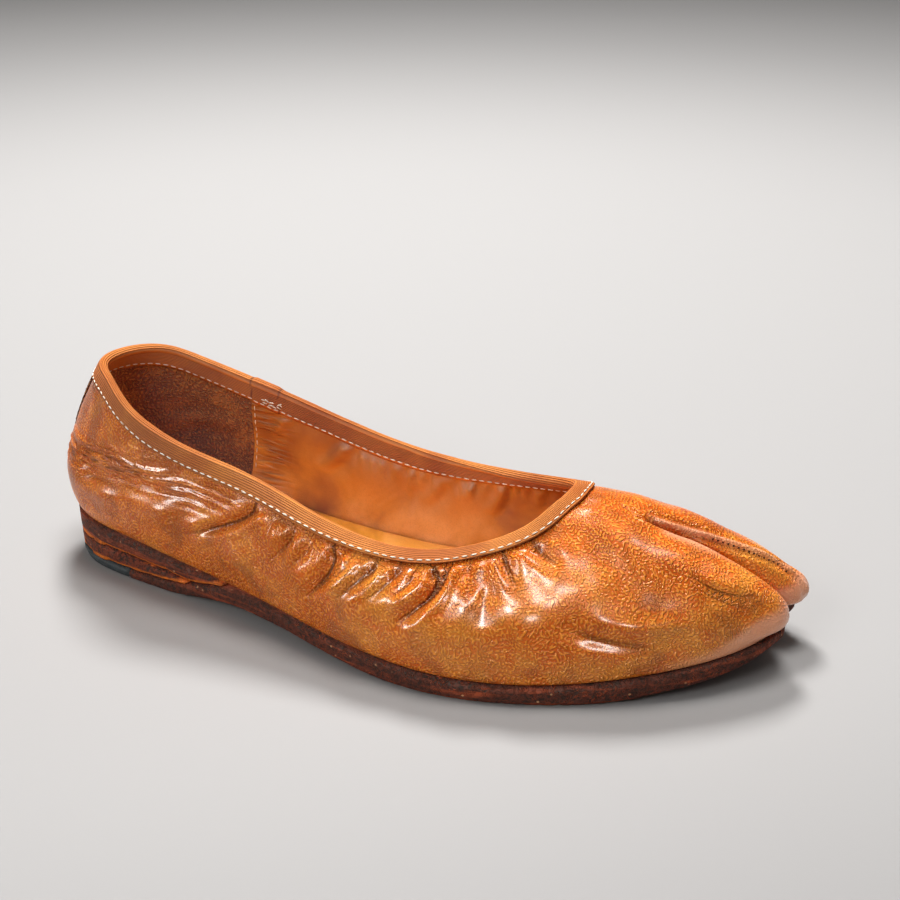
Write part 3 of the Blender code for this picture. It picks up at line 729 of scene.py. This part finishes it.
def leather_relief(own):
    """Height of the creases and bulges over the upper in millimetres, and for the nearest crease how far
    aside each point lies, in widths of the crease, and how dark the painted shade in the crease is there."""
    height = np.zeros(len(own))
    aside = np.full(len(own), 9.0)
    shade = np.zeros(len(own))
    for row in CREASES:
        crease = dict(zip(CREASE_COLUMNS, row))
        flat, here = on_face(own, crease["face"])
        start, middle, end = ((crease[f"x{i}"], crease[f"h{i}"]) for i in range(3))
        line = bent_line(start, middle, end)
        distance, share = along_line(flat, line)
        distance = distance / crease["width"]
        taper = (crease["start"] + (1 - crease["start"]) * ease(share / 0.3)) * (1 - share**3) * here
        height += crease["depth"] * taper * (0.45 * hump(distance - 1.9) - hump(distance))
        nearer = (distance < np.abs(aside)) & (here > 0.05)
        aside[nearer] = (distance * side_of_line(flat, line))[nearer]
        shade[nearer] = (crease["shade"] * taper * ease((2.2 - distance) / 1.2))[nearer]
    for row in BULGES:
        bulge = dict(zip(BULGE_COLUMNS, row))
        flat, here = on_face(own, bulge["face"])
        away = (flat - (bulge["x"], bulge["h"])) / (bulge["length"], bulge["breadth"])
        height += bulge["height"] * here * np.exp(-np.sum(away**2, axis=1))
    return height, aside, shade


def tree_of(mesh):
    """A mesh's faces, ready for finding the nearest place on them."""
    form = bmesh.new()
    form.from_mesh(mesh)
    tree = BVHTree.FromBMesh(form)
    form.free()
    return tree


def even_path(points, pitch, closed):
    """Places one pitch apart along a line of points, with the direction of the line at each."""
    line = np.array([*points, points[0]] if closed else points)
    starts = np.concatenate([[0], np.cumsum(np.linalg.norm(np.diff(line, axis=0), axis=1))])
    count = int(starts[-1] / pitch)
    at = (np.arange(count) + 0.5) * starts[-1] / count
    places = np.stack([np.interp(at, starts, line[:, axis]) for axis in range(3)], axis=1)
    ways = np.stack([np.interp(at + pitch / 4, starts, line[:, axis]) for axis in range(3)], axis=1) - places
    return [(Vector(place), Vector(way).normalized()) for place, way in zip(places, ways)]


def sew(form, points, tree, sizes, closed, wander=0.0):
    """Add a row of short threads that lie on a surface along a line of points."""
    for index, (place, way) in enumerate(even_path(points, sizes.stitch_pitch, closed)):
        spot, normal, _, _ = tree.find_nearest(place)
        side = normal.cross(way).normalized()
        way = side.cross(normal)
        turn = wander * sin(index * 2.7)
        way = (way + side * turn).normalized()
        side = normal.cross(way)
        axes = Matrix((way, side, normal)).transposed().to_4x4()
        size = (sizes.stitch_length / 2, sizes.thread_width / 2, sizes.thread_width * 0.42)
        matrix = Matrix.Translation(spot + normal * sizes.thread_width * 0.12) @ axes
        matrix = matrix @ Matrix.Diagonal((*size, 1)) @ Matrix.Rotation(pi / 2, 4, "Y")
        bmesh.ops.create_uvsphere(form, u_segments=6, v_segments=6, radius=1, matrix=matrix)


def seam_line(tree, row, outer):
    """Places up a seam on the outer face or on the lining, found by looking out from inside the shoe."""
    seam = dict(zip(SEAM_COLUMNS, row))
    line = []
    for share in np.linspace(0, 1, 12):
        height = seam["low"] + share * (seam["high"] - seam["low"])
        inside = shoe_point(seam["x"] + seam["lean"] * share, 0, height)
        way = Vector((0, seam["side"], 0))
        if outer:
            spot = tree.ray_cast(inside + way * 0.2, -way)[0]
        else:
            spot = tree.ray_cast(inside, way)[0]
        line.append(spot)
    return line


def measure_upper(form):
    """Store at each vertex how far it is from the rim and from the sole, and whether it faces outwards."""
    rim = next(group for group in regions(form, radians(50))[1:] if len(border_rings(group)) == 2)
    outer_ring, inner_ring = border_rings(rim)
    outer_steps, outer_run = run_from(form, outer_ring)
    inner_steps, inner_run = run_from(form, inner_ring)
    outside = outer_steps < inner_steps
    steps = np.where(outside, outer_steps, inner_steps)
    feet = [vert for vert in form.verts if steps[vert.index] == steps.max()]
    up = run_from(form, feet)[1]
    set_values(form, "down", np.where(outside, outer_run, inner_run))
    set_values(form, "up", up)
    set_values(form, "outside", outside)


def shape_upper(mesh, sizes):
    """Push the creases, bulges and seams into the upper, and store where they, the wear with a painted highlight
    along the raised seam, and the painted shade in the folds show.
    """
    down, up, outside = (get_values(mesh, name) for name in ("down", "up", "outside"))
    places, normals = read_points(mesh)
    own = own_millimetres(places)
    x, _, z = own.T
    height, aside, shade = leather_relief(own)
    gathers = np.sin(x * 1.35 + 1.5 * np.sin(x * 0.37))
    gathers *= hump((down / MM - 9) / 4) * ease((x - 88) / 12) * ease((172 - x) / 10)
    height += 0.50 * gathers
    height += 0.30 * fractal(places, 0.014, 2)
    heel = ease((x + 5) / 10) * ease((92 - x) / 30)
    wrinkles = heel * hump((z - np.interp(x, *zip(*WRINKLE_LINE))) / 4.5)
    levels = z + 1.3 * fractal(places * (0.25, 0.25, 1), 0.006, 2) + 0.8 * np.sin(x / 6)
    height += 0.40 * wrinkles * np.sin(levels * 2.3) * (outside > 0.5)
    lines = (RIDGE_LINE, FOLD_LINE, SHOULDER_LINE, GROOVE_LINE)
    ridge, fold, shoulder, groove = (along_line(own, line)[0] for line in lines)
    height += 0.60 * hump(ridge / 0.8) - 0.35 * hump((ridge - 1.8) / 0.9)
    height += 0.45 * hump(fold / 0.9) - 0.9 * hump(groove / 1.4)
    height += 0.35 * hump(shoulder / 1.8) * ease((x - 212) / 8)
    held = ease((down - 0.0068) / 0.003) * ease(up / 0.004)
    way = np.where(outside > 0.5, 1, -1)[:, None] * normals
    write_points(mesh, places + way * (height * held * sizes.crease_depth * MM)[:, None])
    # Wear on the toe's bottom edge, nose and the outer lobe's shoulder, and a painted highlight along the raised
    # seam of the inner lobe.
    edge = ease((x - 212) / 26) * ease((0.0050 + 0.0065 * ease((x - 230) / 14) - up) / 0.0035)
    nose = ease((x - 244) / 4) * ease((30 - z) / 8)
    lip = np.maximum(0.9 * hump(shoulder / 2.2) * ease((x - 206) / 8), 0.9 * hump(ridge / 1.0))
    put_values(mesh, "wear_and_highlight", np.clip(np.maximum(edge, np.maximum(nose, lip)), 0, 1))
    # Painted shade: beside the raised seam and in the groove below it, in the creases and the gathers, and along
    # the bottom of the upper.
    seam = np.maximum(hump((ridge - 1.3) / 0.5) * 0.6, 0.95 * hump(groove / 1.5))
    bottom_shade = 0.5 * ease((0.002 - up) / 0.002)
    soft = 0.55 * shade * hump(aside) + 0.5 * np.maximum(-gathers, 0)
    put_values(mesh, "fold", np.clip(np.maximum(np.maximum(soft, seam), bottom_shade), 0, 1))
    put_values(mesh, "crease_side", aside)
    put_values(mesh, "crease_shade", np.clip(shade, 0, 1))
    put_values(mesh, "wrinkle", wrinkles)
    put_values(mesh, "gather", hump((x - 59) / 7) * ease((x - 50) / 4))
    return outside


def stitch_rows(form, inset):
    """Two lines of points on the tape, one inset from each of its edges."""
    face = regions(form, radians(60))[0]
    rings = border_rings(face)[:2]
    rows = []
    for ring in rings:
        row = []
        for vert in ring:
            beyond = [edge.other_vert(vert) for edge in vert.link_edges]
            near = [part for part in vert.link_faces if part in face]
            beyond = [other for other in beyond if other not in ring and any(other in part.verts for part in near)]
            nearest = min(beyond, key=lambda other: (other.co - vert.co).length)
            row.append(vert.co + (nearest.co - vert.co).normalized() * inset)
        rows.append(row)
    return rows, rings[0]


class FlatShoeSizes(bpy.types.PropertyGroup):
    """Sizes of the fine detail."""

    grain_depth: length("Grain depth", "Height of the grain", 0.00050)
    grain_pitch: length("Grain pitch", "Step of the grain's ridges", 0.00104)
    nap_pitch: length("Nap pitch", "Step of the suede's fibres", 0.00125)
    crease_depth: FloatProperty(name="Crease depth", description="Share of the creases' depth", default=1.7)
    stitch_pitch: length("Stitch pitch", "Step of a stitch", 0.0027)
    stitch_length: length("Stitch length", "Thread that shows", 0.0019)
    thread_width: length("Thread width", "Width of the thread", 0.0005)
    stitch_inset: length("Stitch inset", "From the tape's edge to its stitches", 0.0012)
    rib_pitch: length("Rib pitch", "Step of the tape's ribs", 0.00078)
    rib_height: length("Rib height", "Height of the ribs", 0.00030)
    lining_front: length("Heel lining", "From the back of the sole to the heel lining's seam", 0.0493)
    glue_height: length("Glue line", "Height of a glue line", 0.0019)


class FlatShoeColours(bpy.types.PropertyGroup):
    """Colours of the finishes."""

    leather: colour("Leather", "Tan leather", (0.90, 0.164, 0.002))
    leather_pale: colour("Pale leather", "Lighter clouds and grain", (1.0, 0.37, 0.040))
    # Also the painted shade between the heel wrinkles.
    leather_dark: colour("Dark leather", "Darker clouds", (0.43, 0.058, 0.001))
    # Browned patches, and the painted shade in the folds.
    brown_patches_and_fold_shade: colour("Brown leather", "Browned patches", (0.36, 0.070, 0.006))
    # Painted shade for the bottom of the creases and the inside of the pinholes.
    fold_and_hole_shade: colour("Folds", "Bottom of the folds", (0.09, 0.018, 0.004))
    # Burnished toe, and the painted highlight along the raised seam.
    leather_wear_and_highlight: colour("Worn leather", "Burnished toe", (0.80, 0.38, 0.23))
    tape: colour("Tape", "Binding", (0.54, 0.135, 0.012))
    tape_light: colour("Light tape", "Faded binding", (0.78, 0.255, 0.036))
    tape_dark: colour("Dark tape", "Between the ribs", (0.19, 0.045, 0.008))
    thread: colour("Thread", "Stitches", (0.95, 0.86, 0.72))
    thread_grimed: colour("Grimed thread", "Dirt on the stitches", (0.60, 0.38, 0.20))
    lining: colour("Lining", "Smooth lining", (0.78, 0.310, 0.030))
    lining_pale: colour("Pale lining", "Lighter clouds", (0.96, 0.44, 0.10))
    # Also the painted shade between the lining's gathers, and the darkening towards the rim.
    lining_dark: colour("Dark lining", "Darker clouds", (0.36, 0.095, 0.010))
    suede: colour("Suede", "Heel lining", (0.26, 0.070, 0.006))
    suede_light: colour("Light suede", "Raised fibres", (0.58, 0.22, 0.035))
    suede_dark: colour("Dark suede", "Between the fibres", (0.05, 0.014, 0.004))
    stay: colour("Back strip", "Back strip", (0.075, 0.022, 0.012))
    sole: colour("Sole", "Edge of the sole", (0.15, 0.034, 0.020))
    sole_dark: colour("Dark sole", "Pits of the sole", (0.035, 0.014, 0.011))
    sole_fibre: colour("Sole fibres", "Reddish fibres", (0.42, 0.075, 0.025))
    lift: colour("Heel lift", "Lower lift", (0.27, 0.046, 0.018))
    glue: colour("Glue", "Glue lines", (0.90, 0.20, 0.020))
    speck: colour("Specks", "Pale specks", (0.70, 0.36, 0.18))
    rubber: colour("Rubber", "Heel tip", (0.030, 0.040, 0.043))
    rubber_dust: colour("Rubber dust", "Dust on the rubber", (0.12, 0.13, 0.13))
    floor: colour("Floor", "Floor", (0.36, 0.349, 0.342))


class FlatShoeOperator:
    """What the operators share."""

    bl_options = {"REGISTER", "UNDO"}

    def execute(self, context):
        self.make(context.scene.flat_shoe_sizes, context.scene.flat_shoe_colours)
        return {"FINISHED"}


class MakeUpper(FlatShoeOperator, bpy.types.Operator):
    """Upper with its creases, grain, wear and lining"""

    bl_idname = "flat_shoe.make_upper"
    bl_label = "Upper"

    def make(self, sizes, colours):
        form = merged_copy("upper")
        measure_upper(form)
        lining = lining_leather(colours, sizes, HEEL_BACK.x + sizes.lining_front)
        piece = add_piece("upper_leather", form, tan_leather(colours, sizes), lining)
        mesh = subdivide(piece, 2)
        outside = shape_upper(mesh, sizes)
        inside = np.array([np.mean(outside[list(face.vertices)]) < 0.5 for face in mesh.polygons])
        mesh.polygons.foreach_set("material_index", inside.astype(np.int32))
        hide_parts("upper")
        tree = tree_of(mesh)
        threads = bmesh.new()
        for row in LINING_SEAMS:
            sew(threads, seam_line(tree, row, False), tree, sizes, False, 0.1)
        sew(threads, seam_line(tree, OUTER_SEAM, True), tree, sizes, False, 0.1)
        stitches = add_piece("upper_stitches", threads, thread(colours))
        holes = bmesh.new()
        line = [shoe_point(*place) for place in PINHOLE_LINE]
        size = Matrix.Diagonal((*(radius * MM for radius in PINHOLE_RADII), 1))
        for place, way in even_path(line, PINHOLE_PITCH * MM, False):
            spot, normal, _, _ = tree.find_nearest(place)
            turn = normal.to_track_quat("Z", "Y").to_matrix().to_4x4()
            matrix = Matrix.Translation(spot) @ turn @ size
            bmesh.ops.create_icosphere(holes, subdivisions=1, radius=1, matrix=matrix)
        pinholes = add_piece("pinholes", holes, hole(colours))


class MakeBinding(FlatShoeOperator, bpy.types.Operator):
    """Ribbed tape folded over the topline, with its stitches"""

    bl_idname = "flat_shoe.make_binding"
    bl_label = "Binding"

    def make(self, sizes, colours):
        form = merged_copy("topline_binding")
        rows, edge = stitch_rows(form, sizes.stitch_inset)
        set_values(form, "across", run_from(form, edge)[1])
        piece = add_piece("binding_tape", form, ribbed_tape(colours, sizes))
        mesh = subdivide(piece, 2)
        places, normals = read_points(mesh)
        x, y, _ = own_millimetres(places).T
        back, front = LAP_ENDS
        inner = ease((y - 12) / 4)
        lap = inner * ease((x - back) / 1.6) * ease((front - x) / 1.6)
        wave = fractal(places, 0.02, 2) * 0.00018 + lap * 0.0005
        write_points(mesh, places + normals * wave[:, None])
        lips = [hump((x - lip) / 0.9) for lip in (back + LAP_LIP, front - LAP_LIP)]
        put_values(mesh, "lip", inner * np.maximum(*lips))
        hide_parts("topline_binding")
        tree = tree_of(mesh)
        threads = bmesh.new()
        for row in rows:
            sew(threads, row, tree, sizes, True, 0.06)
        for across, along in BAR_TACK:
            sew(threads, [shoe_point(*place) for place in (across, along)], tree, sizes, False, 0.5)
        stitches = add_piece("binding_stitches", threads, thread(colours))


class MakeSole(FlatShoeOperator, bpy.types.Operator):
    """Outsole, heel lifts, glue lines, rubber tip and insole"""

    bl_idname = "flat_shoe.make_sole"
    bl_label = "Sole"

    def make(self, sizes, colours):
        cut = partial(sole_leather, colours=colours, sizes=sizes)
        lower = cut("lower_lift", colours.lift, colours.glue, True)
        upper = cut("upper_lift", colours.sole, colours.sole_fibre, True)
        edge = cut("sole_edge", colours.sole, colours.sole_fibre, False)
        looks = (
            ("outsole", "sole_edge", edge, "sole_leather", 0.34),
            ("upper_heel_lift", "heel_lift_upper", upper, "sole_leather", 0.07),
            ("lower_heel_lift", "heel_lift_lower", lower, "sole_leather", 0.09),
            ("heel_tip", "heel_rubber", rubber(colours, sizes), "heel_rubber", 0.14),
            ("insole", "insole_cover", lining_leather(colours, sizes), "insole_leather", 0.10),
        )
        for node, name, look, slot, roughness in looks:
            form = merged_copy(node)
            keep_edges(form, radians(45), 0.95 if "lift" in node else 0.75)
            underside = max(regions(form, radians(30)), key=facing_down)
            set_values(form, "low", run_from(form, border_rings(underside)[0])[1])
            piece = add_piece(name, form, look)
            mesh = subdivide(piece, 2)
            places, normals = read_points(mesh)
            rough = fractal(places, 0.0022, 3) * roughness * MM * (1 - np.abs(normals[:, 2])) ** 0.5
            if node == "outsole":
                x, y, _ = own_millimetres(places).T
                places[:, 0] -= TIP_PULL * MM * ease((x - 238) / 9) * ease((y - 10) / 8)
            write_points(mesh, places + normals * (1, 1, 0) * rough[:, None])
            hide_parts(node)


class MakeBackStay(FlatShoeOperator, bpy.types.Operator):
    """Worn strip over the back seam"""

    bl_idname = "flat_shoe.make_back_stay"
    bl_label = "Back strip"

    def make(self, sizes, colours):
        form = merged_copy("back_stay")
        piece = add_piece("back_strip", form, stay_leather(colours))
        mesh = subdivide(piece, 3)
        places, normals = read_points(mesh)
        y = own_millimetres(places)[:, 1]
        edge = ease((np.abs(y) - 3) / 2)
        ragged = fractal(places, 0.0016, 3)
        places[:, 1] -= np.sign(y) * edge * (0.5 + ragged) * 0.7 * MM
        write_points(mesh, places + normals * (ragged * 0.12 * MM)[:, None])
        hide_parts("back_stay")


class MakeStage(FlatShoeOperator, bpy.types.Operator):
    """Floor, soft lights and camera"""

    bl_idname = "flat_shoe.make_stage"
    bl_label = "Stage"

    def make(self, sizes, colours):
        scene = bpy.context.scene
        form = bmesh.new()
        bmesh.ops.create_grid(form, x_segments=1, y_segments=1, size=6)
        mesh = bpy.data.meshes.new("floor")
        form.to_mesh(mesh)
        form.free()
        mesh.materials.append(floor_look(colours))
        floor = bpy.data.objects.new("floor", mesh)
        scene.collection.objects.link(floor)
        for name, place, size, power, use in LIGHTS:
            light = bpy.data.lights.new(name, "AREA")
            light.shape = "DISK"
            light.size = size
            light.energy = power
            lamp = bpy.data.objects.new(name, light)
            lamp.location = place
            lamp.visible_diffuse = use != "gleam"
            lamp.visible_glossy = use != "matt"
            aim = Vector(place) - Vector(LIGHT_TARGET)
            lamp.rotation_euler = aim.to_track_quat("Z", "Y").to_euler()
            scene.collection.objects.link(lamp)
        world = bpy.data.worlds.new("studio")
        world.use_nodes = True
        background = world.node_tree.nodes["Background"]
        background.inputs["Color"].default_value = WORLD_COLOUR
        background.inputs["Strength"].default_value = WORLD_STRENGTH
        scene.world = world
        turn, tilt = radians(CAMERA_TURN), radians(CAMERA_TILT)
        right = Vector((cos(turn), sin(turn), 0))
        up = Vector((-sin(turn) * sin(tilt), cos(turn) * sin(tilt), cos(tilt)))
        lens = bpy.data.cameras.new("camera")
        lens.lens = CAMERA_LENS
        lens.sensor_width = CAMERA_SENSOR
        camera = bpy.data.objects.new("camera", lens)
        axes = Matrix((right, up, right.cross(up))).transposed().to_4x4()
        camera.matrix_world = Matrix.Translation(shoe_point(*CAMERA_PLACE)) @ axes
        scene.collection.objects.link(camera)
        scene.camera = camera
        scene.view_settings.view_transform = "Standard"


class FlatShoePanel(bpy.types.Panel):
    """Sizes, colours and pieces of the shoe"""

    bl_idname = "VIEW3D_PT_flat_shoe"
    bl_label = "Flat shoe"
    bl_space_type = "VIEW_3D"
    bl_region_type = "UI"
    bl_category = "Flat shoe"

    def draw(self, context):
        for group in (context.scene.flat_shoe_sizes, context.scene.flat_shoe_colours):
            for name in group.bl_rna.properties.keys():
                if name not in ("rna_type", "name"):
                    self.layout.prop(group, name)
        for operator in OPERATORS:
            self.layout.operator(operator.bl_idname)


OPERATORS = (MakeUpper, MakeBinding, MakeBackStay, MakeSole, MakeStage)
CLASSES = (FlatShoeSizes, FlatShoeColours, *OPERATORS, FlatShoePanel)


def register():
    for kind in CLASSES:
        bpy.utils.register_class(kind)
    bpy.types.Scene.flat_shoe_sizes = PointerProperty(type=FlatShoeSizes)
    bpy.types.Scene.flat_shoe_colours = PointerProperty(type=FlatShoeColours)


def unregister():
    del bpy.types.Scene.flat_shoe_colours
    del bpy.types.Scene.flat_shoe_sizes
    for kind in reversed(CLASSES):
        bpy.utils.unregister_class(kind)


def main():
    register()
    bpy.ops.flat_shoe.make_upper()
    bpy.ops.flat_shoe.make_binding()
    bpy.ops.flat_shoe.make_back_stay()
    bpy.ops.flat_shoe.make_sole()
    bpy.ops.flat_shoe.make_stage()


if __name__ == "__main__":
    main()
